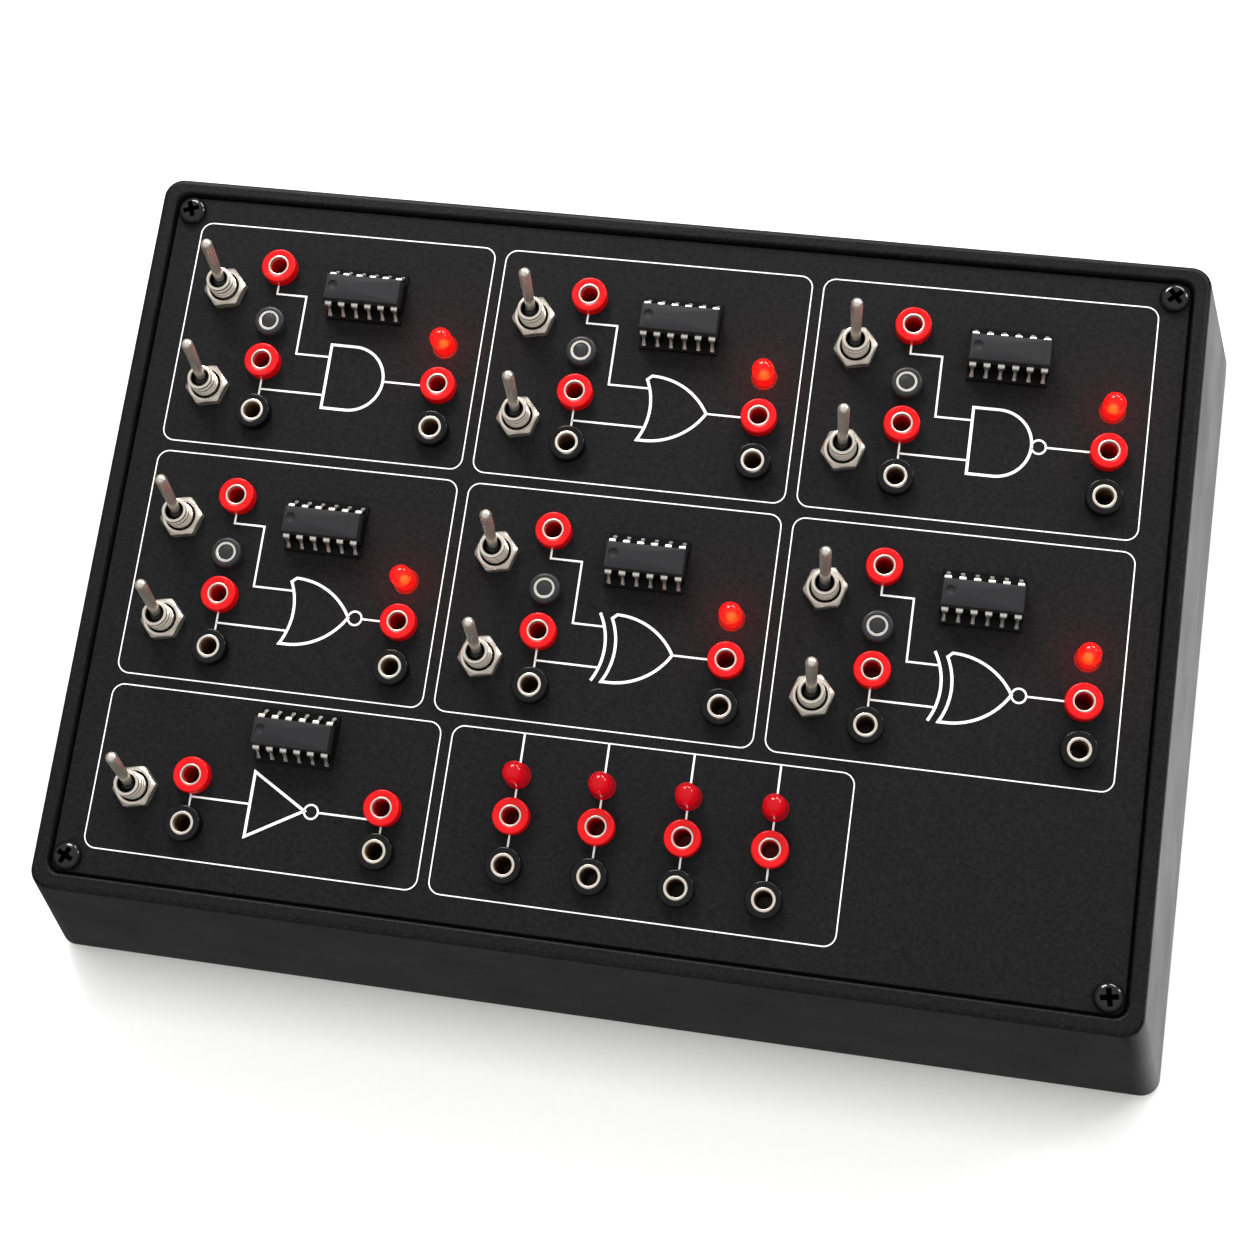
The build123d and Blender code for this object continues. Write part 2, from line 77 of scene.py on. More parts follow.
def colour(name, description, code):
    """A colour property whose default is an sRGB hex colour."""
    return FloatVectorProperty(name=name, description=description, default=linear(code),
                               subtype="COLOR", min=0, max=1)


def number(name, description, value):
    """A plain number property."""
    return FloatProperty(name=name, description=description, default=value)


class TrainerSizes(bpy.types.PropertyGroup):
    """Sizes of the detail that the frame's solids leave out."""
    edge: length("Edge", "Rounding of the casing's edges", 0.7)
    socket_edge: length("Socket edge", "Rounding of a socket head's upper edge", 0.4)
    red_ring: length("Red ring", "Width of the bright ring in a red socket", 0.4)
    black_ring: length("Black ring", "Width of the bright ring in a black socket", 0.6)
    socket_bore: length("Socket bore", "Radius of a socket's opening", 2.0)
    nut_chamfer: length("Nut chamfer", "Radius at which a toggle nut's top begins to slope", 4.05)
    thread_depth: length("Thread depth", "Depth of the rings on a toggle's bushing", 0.26)
    lever_root: length("Lever root", "Radius of a lever above its ball", 1.12)
    lever_tip: length("Lever tip", "Radius of a lever at its domed end", 1.32)
    lens_radius: length("Lens radius", "Radius of a red lamp above its flange", 2.5)
    lens_flange: length("Lens flange", "Height of a red lamp's flange", 1.0)
    pin_width: length("Pin width", "Width of a chip's pin at its shoulder", 1.45)
    pin_shoulder: length("Pin shoulder", "How far a pin runs out before it turns down", 0.85)
    foot_width: length("Pin foot width", "Width of a chip's pin at its foot", 0.9)
    dimple: length("Dimple", "Radius of the dimple by a chip's first pin", 1.1)
    segments: IntProperty(name="Segments", description="Sides of a turned piece", default=64, min=12)


class TrainerLegend(bpy.types.PropertyGroup):
    """Sizes of the printed frames, wires and gate symbols."""
    upper_row: length("Upper row", "Depth of the frames in the rear row", 53.2)
    middle_row: length("Middle row", "Depth of the frames in the middle row", 52.2)
    lower_row: length("Lower row", "Depth of the frames in the front row", 37.0)
    gate_width: length("Gate width", "Width of a gate's frame", 70.5)
    right_width: length("Right width", "Width of the right-hand gates' frames", 73.6)
    inverter_width: length("Inverter width", "Width of the inverter's frame", 75.7)
    monitor_width: length("Monitor width", "Width of the monitor's frame", 87.9)
    gap: length("Gap", "Gap between frames", 2.6)
    corner: length("Corner", "Radius of a frame's corners", 2.7)
    frame_line: length("Frame line", "Width of a frame's line", 0.26)
    wire_line: length("Wire line", "Width of a wire's line", 0.42)
    gate_line: length("Gate line", "Width of a gate symbol's line", 0.62)
    wire_drop: length("Wire drop", "How far below input A its wire turns", 6.0)
    wire_step: length("Wire step", "How far the wire of input A steps to the right", 7.05)
    gate_start: length("Gate start", "From the inputs to a gate symbol's left side", 15.1)
    gate_half: length("Gate half", "Half the height of a gate symbol", 7.6)
    input_spread: length("Input spread", "Rise and fall of the two input wires", 4.6)
    bubble: length("Bubble", "Radius of an inverting gate's bubble", 1.55)
    extra_gap: length("Extra gap", "From an exclusive gate's body to its extra arc", 2.3)
    inverter_drop: length("Inverter drop", "How far below its input the inverter's wire runs", 4.5)
    inverter_start: length("Inverter start", "From the input to the triangle's left side", 13.6)
    inverter_half: length("Inverter half", "Half the height of the triangle", 7.2)
    inverter_length: length("Inverter length", "Length of the triangle", 12.4)
    ink: length("Ink", "Height of the ink above the panel", 0.03)
    tuck: length("Tuck", "How near to a socket's middle a wire runs, under its head", 3.2)


class TrainerColours(bpy.types.PropertyGroup):
    """Colours of the materials."""
    casing: colour("Casing", "Moulded casing", "#161617")
    panel: colour("Panel", "Panel's solder resist", "#19191a")
    ink: colour("Ink", "Printed lines", "#ffffff")
    red: colour("Red", "Red socket heads", "#cc0208")
    black: colour("Black", "Black socket heads", "#060607")
    nickel: colour("Nickel", "Plated metal", "#ece3d6")
    lit_lens: colour("Lit lens", "Resin of the lit output lamps", "#f02a18")
    lit_body: colour("Lit body", "Glow that fills a lit lamp", "#ff0509")
    lit_core: colour("Lit core", "Glowing middle of a lit lamp", "#ffa44a")
    dark_lens: colour("Monitor lens", "Resin of the monitor lamps", "#c0001c")
    # Painted light: the dark monitor lamps are given this glow.
    monitor_painted_glow: colour("Monitor body", "Glow that fills a monitor lamp", "#d40022")
    lamp_body: colour("Lamp body", "Input lamps' bodies", "#242426")
    lamp_ring: colour("Lamp ring", "Rings of the input lamps", "#e9e4dd")
    brass: colour("Brass", "Bores of the black sockets", "#7a5634")
    smoked: colour("Smoked lens", "Input lamps' lenses", "#1e1e20")
    resin: colour("Resin", "Chip bodies", "#1c1c1e")
    carrier: colour("Carrier", "Chip carriers", "#08080a")
    tin: colour("Tin", "Tinned pins", "#eeeae2")
    oxide: colour("Oxide", "Blackened screws", "#0c0c0d")
    rubber: colour("Rubber", "Feet", "#141414")
    laminate: colour("Laminate", "Supply board", "#1d5a33")
    lead: colour("Lead", "Supply lead", "#8e1210")
    floor: colour("Floor", "Floor", "#e4e4e3")


class TrainerStudio(bpy.types.PropertyGroup):
    """The camera and the lights."""
    lens: FloatProperty(name="Lens", description="Focal length on a 36 mm sensor", default=60.25,
                        unit="CAMERA")
    place: FloatVectorProperty(name="Place", description="Where the camera stands",
                               default=(0.06882, -0.12683, 0.49587), subtype="TRANSLATION")
    turn: FloatVectorProperty(name="Turn", description="How the camera is turned",
                              default=tuple(math.radians(a) for a in (15.7466, 6.2134, 8.4988)),
                              subtype="EULER")
    key_power: number("Key", "Power of the large soft light in watts", 15.0)
    rim_power: number("Rim", "Power of the narrow rear light in watts", 5.0)
    fill_power: number("Fill", "Power of the right-hand light in watts", 3.0)
    glow_power: number("Glow", "Power of the light in a lit lamp in watts", 0.006)
    floor_power: number("Floor", "Power of the light that falls on the floor alone in watts", 12.0)
    sky: number("Sky", "Brightness of the room", 1.05)
    above: number("Above", "Brightness of the room above, as gloss shows it", 0.7)
    around: number("Around", "Brightness of the room at the horizon, as gloss shows it", 0.16)
    beside: number("Beside", "Brightness low down on the right, as gloss shows it", 1.1)


# --- Frame ---

def panel_matrix():
    """The panel's own axes: x to the right, y up the slope and z out of its face, at its middle."""
    board = frame["nodes"]["front_panel"].data
    corners = np.array([v.co for v in board.vertices])
    face = max((p for p in board.polygons if p.normal.z > 0.9), key=lambda p: p.area)
    normal = Vector(face.normal).normalized()
    across = Vector((1, 0, 0))
    axes = Matrix((across, normal.cross(across), normal)).transposed().to_4x4()
    low, high = corners.min(0), corners.max(0)
    middle = Vector((low + high) / 2)
    middle += normal * (Vector(face.center) - middle).dot(normal)
    return Matrix.Translation(middle) @ axes


PANEL = panel_matrix()


@cache
def islands(node):
    """The separate solids of a CAD node: the middle, low and high corners of each, in the panel's axes."""
    mesh = bmesh.new()
    mesh.from_mesh(frame["nodes"][node].data)
    bmesh.ops.remove_doubles(mesh, verts=mesh.verts, dist=WELD)
    back = PANEL.inverted()
    unseen = set(mesh.verts)
    found = []
    while unseen:
        stack, members = [unseen.pop()], []
        while stack:
            vertex = stack.pop()
            members.append(back @ vertex.co)
            for edge in vertex.link_edges:
                other = edge.other_vert(vertex)
                if other in unseen:
                    unseen.remove(other)
                    stack.append(other)
        points = np.array(members)
        low, high = points.min(0), points.max(0)
        found.append(((low + high) / 2, low, high))
    mesh.free()
    return sorted(found, key=lambda s: (round(s[0][0], 4), -round(s[0][1], 4)))


def measure(node):
    """The radius, top and bottom of a node's first solid, as it stands on the panel."""
    low, high = islands(node)[0][1:]
    return (high[0] - low[0]) / 2, high[2], low[2]


def spots(node):
    """Where a node's solids stand on the panel, as (x, y) pairs."""
    return [(solid[0][0], solid[0][1]) for solid in islands(node)]


def on_panel(node):
    """A matrix for each of a node's solids, standing on the panel."""
    return [PANEL @ Matrix.Translation((x, y, 0)) for x, y in spots(node)]


def within(node, place, low, high, radius):
    """Whether a place lies in one of the cylinders round a node's solids, between two heights."""
    local = PANEL.inverted() @ place
    reach = min(math.hypot(x - local.x, y - local.y) for x, y in spots(node))
    return low < local.z < high and reach < radius


# --- Meshes ---

def in_scene(name, data):
    """A new object in the scene, at the origin."""
    thing = bpy.data.objects.new(name, data)
    bpy.context.scene.collection.objects.link(thing)
    return thing


def piece(name, form, material, body=BODY, replaces=(), smooth=40, inner=None, inside=None):
    """A finished object from a form in the row frame, riding on a body.

    The faces whose middles the test inside accepts get the inner material."""
    points, faces = form
    mesh = bpy.data.meshes.new(name)
    mesh.from_pydata([tuple(point) for point in points], [], faces)
    tidy = bmesh.new()
    tidy.from_mesh(mesh)
    bmesh.ops.remove_doubles(tidy, verts=tidy.verts, dist=WELD / 10)
    bmesh.ops.recalc_face_normals(tidy, faces=tidy.faces)
    tidy.to_mesh(mesh)
    tidy.free()
    mesh.polygons.foreach_set("use_smooth", [True] * len(mesh.polygons))
    mesh.set_sharp_from_angle(angle=math.radians(smooth))
    mesh.materials.append(material)
    if inner:
        mesh.materials.append(inner)
        for face in mesh.polygons:
            face.material_index = int(inside(face.center))
    thing = in_scene(name, mesh)
    if replaces:
        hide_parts(*replaces)
    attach(thing, body)
    return thing


def grid_faces(rows, columns):
    """Quads between rings of points, each ring closed on itself."""
    return [(i * columns + j, i * columns + (j + 1) % columns,
             (i + 1) * columns + (j + 1) % columns, (i + 1) * columns + j)
            for i in range(rows - 1) for j in range(columns)]


def turned(profile, segments, section=None):
    """A turned form: (r(t) cos a, r(t) sin a, z(t)) for each profile point and angle a.

    section(a, r, z) may change the radius and height, as for a hexagonal nut."""
    angles = np.arange(segments) * 2 * math.pi / segments
    rings = []
    for radius, height in profile:
        r, z = np.full(segments, float(radius)), np.full(segments, float(height))
        if section:
            r, z = section(angles, r, z)
        rings.append(np.column_stack((r * np.cos(angles), r * np.sin(angles), z)))
    return np.vstack(rings), grid_faces(len(profile), segments)


def joined(*forms):
    """Several forms, each its points and its faces, as one."""
    points, faces, start = [], [], 0
    for some_points, some_faces in forms:
        points.append(some_points)
        faces += [tuple(start + i for i in face) for face in some_faces]
        start += len(some_points)
    return np.vstack(points), faces


def placed(form, matrices):
    """One form repeated, with a copy at each matrix."""
    points, faces = form
    moves = [np.array(matrix) for matrix in matrices]
    return joined(*[(points @ m[:3, :3].T + m[:3, 3], faces) for m in moves])


def arc(centre, radius, start, end, steps=24):
    """Points on a circle: c + r (cos a, sin a), a in degrees."""
    angles = np.radians(np.linspace(start, end, steps))
    return [(centre[0] + radius * math.cos(a), centre[1] + radius * math.sin(a)) for a in angles]


def rounded(radius, corner, height):
    """A quarter arc of a profile that turns a wall's top edge inward."""
    return arc((radius - corner, height - corner), corner, 0, 90, 6)


# --- Materials ---

def add(tree, kind, links=None, **settings):
    """A node of a kind, with its settings, input values and incoming links."""
    node = tree.nodes.new(kind)
    for name, value in settings.items():
        setattr(node, name, value)
    for socket, value in (links or {}).items():
        if isinstance(value, bpy.types.NodeSocket):
            tree.links.new(value, node.inputs[socket])
        else:
            node.inputs[socket].default_value = value
    return node


def surface(name, base, roughness, **sockets):
    """A material and its Principled shader, whose uniform values are set on its own sockets."""
    material = bpy.data.materials.new(name)
    material.use_nodes = True
    shader = material.node_tree.nodes["Principled BSDF"]
    for socket, value in {"Base_Color": (*base, 1), "Roughness": roughness, **sockets}.items():
        shader.inputs[socket.replace("_", " ")].default_value = value
    return material, shader


def noise(shader, scale, detail=3.0, roughness=0.55):
    """Noise over object coordinates, its cells 1 / scale metres wide, as a value from 0 to 1."""
    place = add(shader.id_data, "ShaderNodeTexCoord")
    field = add(shader.id_data, "ShaderNodeTexNoise", {
        "Vector": place.outputs["Object"], "Scale": scale, "Detail": detail, "Roughness": roughness})
    return field.outputs["Fac"]


def ramp(tree, value, start, end, low=0.0, high=1.0):
    """A value whose range from start to end is led onto low to high."""
    node = add(tree, "ShaderNodeMapRange", {
        "Value": value, "From Min": start, "From Max": end, "To Min": low, "To Max": high})
    return node.outputs["Result"]


def varied(shader, field, low, high):
    """A noise field spread over a range: nearly all of its values lie in NOISE_RANGE."""
    return ramp(shader.id_data, field, *NOISE_RANGE, low, high)


def tinted(shader, field, base, low, high):
    """A base colour that varies between two shades of one colour."""
    mix = add(shader.id_data, "ShaderNodeMix",
              {"Factor": varied(shader, field, 0, 1), "A": (*shade(base, low), 1),
               "B": (*shade(base, high), 1)}, data_type="RGBA")
    shader.id_data.links.new(mix.outputs["Result"], shader.inputs["Base Color"])


def glossed(shader, field, low, high):
    """A roughness that varies between two values."""
    shader.id_data.links.new(varied(shader, field, low, high), shader.inputs["Roughness"])


def grained(shader, field, strength, distance):
    """A bump from a noise field, on the shader's normal."""
    bump = add(shader.id_data, "ShaderNodeBump",
               {"Height": field, "Strength": strength, "Distance": distance})
    shader.id_data.links.new(bump.outputs["Normal"], shader.inputs["Normal"])


def shade(base, share):
    """A colour made lighter or darker."""
    return tuple(min(1.0, channel * share) for channel in base)


def moulded_casing(colours):
    """Spark-eroded ABS: a fine grain breaks up the highlights, its pits painted darker and its crests
    lighter as painted shade and light, and its gloss is patchy.

    The grain is drawn about five times coarser than the moulding's, so that it shows at arm's length."""
    material, shader = surface("casing_abs", colours.casing, 0.34, Specular_IOR_Level=0.1)
    grain = noise(shader, scale=1300, detail=4, roughness=0.7)
    # Painted shade and light: the colour follows the bump's height, darker in the pits and lighter on the
    # crests.
    tinted(shader, grain, colours.casing, 0.55, 1.6)
    glossed(shader, noise(shader, scale=45), 0.3, 0.38)
    grained(shader, grain, strength=0.6, distance=0.2 * MM)
    return material


def printed_panel(colours):
    """Matt solder resist: a leathery grain whose pits are painted darker and crests lighter, as painted
    shade and light, and a gloss that varies over the board.

    The grain is drawn about five times coarser than the resist's, so that it shows at arm's length."""
    material, shader = surface("panel_resist", colours.panel, 0.5, Specular_IOR_Level=0.065)
    grain = noise(shader, scale=1100, detail=4, roughness=0.75)
    # Painted shade and light: the colour follows the bump's height, darker in the pits and lighter on the
    # crests.
    tinted(shader, grain, colours.panel, 0.55, 1.4)
    glossed(shader, noise(shader, scale=28, detail=4), 0.5, 0.62)
    grained(shader, grain, strength=0.5, distance=0.22 * MM)
    return material


def white_ink(colours):
    """Screen-printed ink: a dry white film with slight unevenness in its coverage."""
    material, shader = surface("legend_ink", colours.ink, 0.6, Specular_IOR_Level=0.3)
    tinted(shader, noise(shader, scale=900), colours.ink, 0.9, 1)
    return material


def glossy_plastic(name, base, roughness, mirror=0.5):
    """Injection-moulded plastic: a glossy skin with the slight waviness that moulding leaves."""
    material, shader = surface(name, base, roughness, Specular_IOR_Level=mirror)
    waves = noise(shader, scale=320, detail=2)
    tinted(shader, waves, base, 0.95, 1.04)
    glossed(shader, waves, roughness * 0.8, roughness * 1.25)
    grained(shader, waves, strength=0.05, distance=0.1 * MM)
    return material


def plated_metal(name, base, roughness, metallic=0.9):
    """Plated metal: satin, with a faint bloom that varies its tint and gloss."""
    material, shader = surface(name, base, roughness, Metallic=metallic)
    bloom = noise(shader, scale=260)
    tinted(shader, bloom, base, 0.93, 1)
    glossed(shader, bloom, roughness * 0.85, roughness * 1.2)
    return material


def lit_lens(name, base, tint, glow, clear):
    """Coloured lamp resin: it bends the view of its glowing middle, and its skin gives sharp glints."""
    material, shader = surface(name, base, 0.3, Transmission_Weight=clear, IOR=1.5,
                               Specular_Tint=(*tint, 1), Coat_Weight=0.6, Coat_Roughness=0.05,
                               Emission_Color=(*tint, 1), Emission_Strength=glow)
    glossed(shader, noise(shader, scale=500, detail=2), 0.24, 0.36)
    return material


def glowing_core(name, base, strength):
    """The phosphor-bright middle of a lit lamp, hottest in patches; in the dark monitor lamps the same glow
    is painted light.
    """
    material, shader = surface(name, base, 0.5, Emission_Color=(*base, 1), Emission_Strength=strength)
    tinted(shader, noise(shader, scale=700, detail=2), base, 0.8, 1)
    return material


def chip_resin(colours):
    """Filled epoxy: dull and faintly speckled by its silica filler."""
    material, shader = surface("chip_epoxy", colours.resin, 0.62, Specular_IOR_Level=0.3)
    speckle = noise(shader, scale=5200, detail=2, roughness=0.7)
    tinted(shader, speckle, colours.resin, 0.8, 1.3)
    grained(shader, speckle, strength=0.35, distance=0.06 * MM)
    return material


def soft_rubber(colours):
    """Rubber: matt, with a dusty bloom."""
    material, shader = surface("foot_rubber", colours.rubber, 0.8, Specular_IOR_Level=0.3)
    dust = noise(shader, scale=800, detail=4)
    tinted(shader, dust, colours.rubber, 1, 1.8)
    grained(shader, dust, strength=0.3, distance=0.1 * MM)
    return material


def painted_shade_black(name, base):
    """Painted shade for the bottom of a groove or recess, where no light comes back: the metal's colour
    darkened to nearly black.
    """
    return surface(name, shade(base, 0.3), 0.8, Specular_IOR_Level=0.0)[0]


# --- Legend ---

def stroke(points, width, closed=False):
    """A flat line of one width through points, mitred at its corners: each side is offset by w/2."""
    path = np.array(points, float)
    count = len(path)
    before = np.roll(path, 1, 0)
    after = np.roll(path, -1, 0)
    if not closed:
        before[0] = 2 * path[0] - path[1]
        after[-1] = 2 * path[-1] - path[-2]
    come = path - before
    leave = after - path
    come /= np.linalg.norm(come, axis=1)[:, None]
    leave /= np.linalg.norm(leave, axis=1)[:, None]
    mitre = np.column_stack((-(come + leave)[:, 1], (come + leave)[:, 0]))
    mitre /= np.linalg.norm(mitre, axis=1)[:, None]
    across = np.column_stack((-come[:, 1], come[:, 0]))
    mitre *= (width / 2 / np.maximum((mitre * across).sum(1), 0.4))[:, None]
    sides = np.empty((2 * count, 2))
    sides[0::2], sides[1::2] = path + mitre, path - mitre
    faces = [(2 * i, 2 * i + 1, (2 * i + 3) % (2 * count), (2 * i + 2) % (2 * count))
             for i in range(count if closed else count - 1)]
    return np.column_stack((sides, np.zeros(2 * count))), faces


def frame_outline(left, right, low, high, corner):
    """A rectangle with round corners."""
    left, right, low, high = left + corner, right - corner, low + corner, high - corner
    turns = (((right, high), 90), ((right, low), 0), ((left, low), -90), ((left, high), 180))
    return [point for centre, start in turns for point in arc(centre, corner, start, start - 90, 8)]


def legend_depth(legend):
    """The depth of all the frames together; they are centred on the panel."""
    return legend.upper_row + legend.middle_row + legend.lower_row + 2 * legend.gap


def legend_frames(legend):
    """The eight printed frames, in rows centred on the panel."""
    gates = (legend.gate_width, legend.gate_width, legend.right_width)
    rows = ((legend.upper_row, gates), (legend.middle_row, gates),
            (legend.lower_row, (legend.inverter_width, legend.monitor_width)))
    width = sum(gates) + 2 * legend.gap
    top, shapes = legend_depth(legend) / 2, []
    for row, widths in rows:
        left = -width / 2
        for across in widths:
            outline = frame_outline(left, left + across, top - row, top, legend.corner)
            shapes.append(stroke(outline, legend.frame_line, closed=True))
            left += across + legend.gap
        top -= row + legend.gap
    return shapes


def round_gate(left, middle, legend):
    """A flat-backed gate: straight sides, then a half circle. Returns its outline and its nose."""
    half = legend.gate_half
    centre = left + 0.75 * half
    nose = arc((centre, middle), half, 90, -90, 32)
    return [(left, middle + half), *nose, (left, middle - half)], centre + half


def pointed_gate(left, middle, legend):
    """A curved-back gate: two arcs of radius 2h meet in a point. Returns its outline and its nose."""
    half = legend.gate_half
    start = left + 0.2 * half
    upper = arc((start, middle - half), 2 * half, 90, 30, 20)
    lower = arc((start, middle + half), 2 * half, -30, -90, 20)
    back = arc((left - math.sqrt(3) * half, middle), 2 * half, -30, 30, 16)
    return [*upper, *lower[1:], *back[:-1]], start + math.sqrt(3) * half


def back_of(gate, left, rise, legend):
    """How far right an input wire runs to meet a gate's back: x = sqrt(4h^2 - y^2) - sqrt(3) h."""
    if gate in ("and", "nand"):
        return left
    half = legend.gate_half
    bulge = math.sqrt(4 * half ** 2 - rise ** 2) - math.sqrt(3) * half
    return left + bulge - (legend.extra_gap if gate in ("xor", "xnor") else 0)


def between(upper, lower, legend):
    """An upright wire from one socket's head to the next."""
    return [(upper[0], upper[1] - legend.tuck), (lower[0], lower[1] + legend.tuck)]


def gate_symbol(gate, legend):
    """One gate's symbol with its wires, placed by its sockets."""
    (ax, ay), (bx, by), (ox, oy) = spots(f"red_sockets_{gate}")
    commons = spots(f"black_sockets_{gate}")
    middle, left = oy, ax + legend.gate_start
    upper, lower = middle + legend.input_spread, middle - legend.input_spread
    turn = ay - legend.wire_drop
    shape = round_gate if gate in ("and", "nand") else pointed_gate
    outline, nose = shape(left, middle, legend)
    shapes = [stroke(outline, legend.gate_line, closed=True)]
    meet = back_of(gate, left, legend.input_spread, legend)
    wires = [[(ax, ay - legend.tuck), (ax, turn), (ax + legend.wire_step, turn),
              (ax + legend.wire_step, upper), (meet, upper)],
             between((bx, by), commons[0], legend), [(bx, lower), (meet, lower)]]
    if gate in ("xor", "xnor"):
        half = legend.gate_half
        centre = (left - legend.extra_gap - math.sqrt(3) * half, middle)
        shapes.append(stroke(arc(centre, 2 * half, -30, 30, 20), legend.gate_line))
    if gate in ("nand", "nor", "xnor"):
        ring = arc((nose + legend.bubble, middle), legend.bubble, 0, 350, 30)
        shapes.append(stroke(ring, legend.wire_line, closed=True))
        nose += 2 * legend.bubble
    wires.append([(nose, middle), (ox - legend.tuck, middle)])
    return shapes + [stroke(wire, legend.wire_line) for wire in wires]


def inverter_symbol(legend):
    """The triangle, its bubble and its wires."""
    (ix, iy), (ox, oy) = spots("red_sockets_not")
    common, output_common = spots("black_sockets_not")
    level, left = iy - legend.inverter_drop, ix + legend.inverter_start
    tip = left + legend.inverter_length
    triangle = [(left, level + legend.inverter_half), (tip, level), (left, level - legend.inverter_half)]
    ring = arc((tip + legend.bubble, level), legend.bubble, 0, 350, 30)
    meet = ox - math.sqrt(max(legend.tuck ** 2 - (level - oy) ** 2, 0))
    wires = [between((ix, iy), common, legend), [(ix, level), (left, level)],
             [(tip + 2 * legend.bubble, level), (meet, level)], between((ox, oy), output_common, legend)]
    return [stroke(triangle, legend.gate_line, closed=True), stroke(ring, legend.wire_line, closed=True),
            *[stroke(wire, legend.wire_line) for wire in wires]]


def monitor_wires(legend):
    """Four straight wires, from the frame's upper edge through each lamp to its sockets."""
    top = legend.lower_row - legend_depth(legend) / 2
    wires = []
    for red, black in zip(spots("red_sockets_monitor"), spots("black_sockets_monitor")):
        wires += [[(red[0], top), (red[0], red[1] + legend.tuck)], between(red, black, legend)]
    return [stroke(wire, legend.wire_line) for wire in wires]


# --- Operators ---

def settings(context):
    """The sizes and the colours."""
    return context.scene.trainer_sizes, context.scene.trainer_colours


def dress(node, material, edge=0.0):
    """Gives a CAD node its material, and rounds its edges where a size is given."""
    thing = frame["nodes"][node]
    thing.data.materials.clear()
    thing.data.materials.append(material)
    if edge:
        weld = thing.modifiers.new("weld", "WELD")
        weld.merge_threshold = WELD
        bevel = thing.modifiers.new("edges", "BEVEL")
        bevel.width = edge
        bevel.segments = 3
        bevel.limit_method = "ANGLE"
        bevel.angle_limit = math.radians(28)
        bevel.harden_normals = True


def lights_only(light, thing):
    """Lets a light fall on one thing alone."""
    group = bpy.data.collections.new(f"{light.name}_receivers")
    group.objects.link(thing)
    light.light_linking.receiver_collection = group


class TRAINER_OT_casing(bpy.types.Operator):
    """Dresses the casing, the base plate and the feet"""
    bl_idname = "trainer.casing"
    bl_label = "Casing"

    def execute(self, context):
        sizes, colours = settings(context)
        shell = moulded_casing(colours)
        dress("housing", shell, sizes.edge)
        dress("base_plate", shell, sizes.edge / 2)
        dress("rubber_feet", soft_rubber(colours), sizes.edge)
        return {"FINISHED"}


class TRAINER_OT_panel(bpy.types.Operator):
    """Dresses the front panel and prints its legend"""
    bl_idname = "trainer.panel"
    bl_label = "Panel and legend"

    def execute(self, context):
        sizes, colours = settings(context)
        legend = context.scene.trainer_legend
        dress("front_panel", printed_panel(colours), sizes.edge / 2)
        shapes = legend_frames(legend)
        for gate in GATES:
            shapes += gate_symbol(gate, legend)
        shapes += inverter_symbol(legend) + monitor_wires(legend)
        lifted = PANEL @ Matrix.Translation((0, 0, legend.ink))
        piece("panel_legend", placed(joined(*shapes), [lifted]), white_ink(colours))
        return {"FINISHED"}


class TRAINER_OT_sockets(bpy.types.Operator):
    """Builds the socket heads and the sleeves that line them"""
    bl_idname = "trainer.sockets"
    bl_label = "Sockets"

    def execute(self, context):
        sizes, colours = settings(context)
        radius, height = measure("red_sockets_and")[:2]
        floor = measure("socket_sleeves")[2]
        bore, eye, lip = sizes.socket_bore, 1.1 * MM, 0.12 * MM
        soft = 0.3 * lip
        lining = turned([(bore, height - eye), (bore - lip, height - eye), (bore - lip, floor + 2 * eye),
                         (0, floor + 2 * eye)], sizes.segments)
        rings = []
        # The black sockets' bores are their brass darkened to 0.45 as painted shade; the red bores are the
        # red plastic at 0.9.
        for kind, width, roughness, tint, wall in (
                ("red", sizes.red_ring, 0.26, colours.red, shade(colours.red, 0.9)),
                ("black", sizes.black_ring, 0.2, colours.black, shade(colours.brass, 0.45))):
            plastic = glossy_plastic(f"socket_{kind}", tint, roughness, mirror=0.28)
            ring = bore + width
            head = turned([(ring, 0), (radius - lip, 0), (radius, lip),
                           *rounded(radius, sizes.socket_edge, height),
                           (ring + 2 * lip, height), (ring, height - lip), (ring, 0)], sizes.segments)
            matrices = []
            for section in SECTIONS:
                node = f"{kind}_sockets_{section}"
                matrices += on_panel(node)
                piece(f"{kind}_heads_{section}", placed(head, on_panel(node)), plastic,
                      replaces=[node])
            tube = turned([(0, floor), (ring, floor), (ring, height - lip), (ring - soft, height - soft),
                           (ring - lip, height), (bore + lip, height), (bore + soft, height - soft),
                           (bore, height - lip), (bore, floor + eye), (0, floor + eye)], sizes.segments)
            rings.append(placed(tube, matrices))
            piece(f"{kind}_linings", placed(lining, matrices), glossy_plastic(f"lining_{kind}", wall, 0.4))
        piece("socket_rings", joined(*rings), plated_metal("ring_nickel", colours.nickel, 0.34),
              replaces=["socket_sleeves"])
        return {"FINISHED"}


